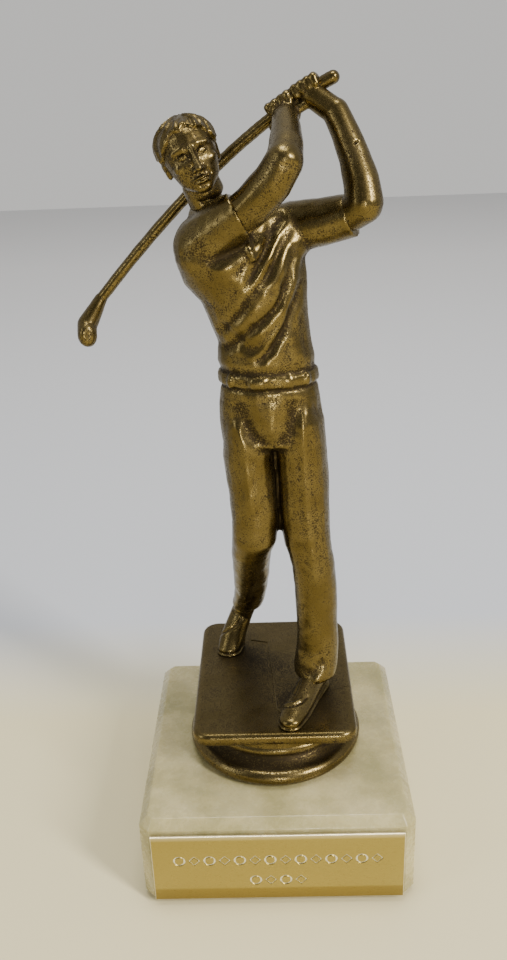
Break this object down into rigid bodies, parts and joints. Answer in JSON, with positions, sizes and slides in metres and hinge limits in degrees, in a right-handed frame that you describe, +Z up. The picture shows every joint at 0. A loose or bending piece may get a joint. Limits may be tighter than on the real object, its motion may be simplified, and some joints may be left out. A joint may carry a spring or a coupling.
{
  "type": "figure trophy",
  "caption": "Trophy with a hollow golfer figure in a follow-through pose on a turned riser, bolted to a square marble block with an engraving plate.",
  "frame": {"origin": "centre of the base pad's underside, on the tie rod's axis", "axes": "+Z up, +Y from the engraving plate to the back, +X to the viewer's right when facing the plate"},
  "size_m": [0.0799, 0.0713, 0.1971],
  "materials": {
    "antique_gold": "metallised antique gold with dark patina in the recesses",
    "zinc_steel": "zinc plated",
    "onyx_marble": "polished cream onyx with cloudy veins",
    "gold_plate": "satin gold with a bright bevelled edge",
    "adhesive_film": "double-sided film",
    "dark_foam": "matt cellular foam"
  },
  "bodies": {
    "base": {"marble_base": "onyx_marble", "engraving_plate": "gold_plate", "plate_adhesive": "adhesive_film", "base_pad": "dark_foam", "washer": "zinc_steel"},
    "figure": {"figure_front_shell": "antique_gold", "figure_back_shell": "antique_gold", "golf_club": "antique_gold", "captive_nut": "zinc_steel", "tie_rod": "zinc_steel"},
    "nut": {"hex_nut": "zinc_steel"}
  },
  "joints": [
    {"name": "figure_turn", "type": "hinge", "parent": "base", "child": "figure", "pos_m": [0, 0, 0.0263], "axis": [0, 0, 1], "range_deg": [-180, 180]},
    {"name": "nut_turn", "type": "hinge", "parent": "figure", "child": "nut", "pos_m": [0, 0, 0.006], "axis": [0, 0, -1], "range_deg": [0, 180]}
  ]
}
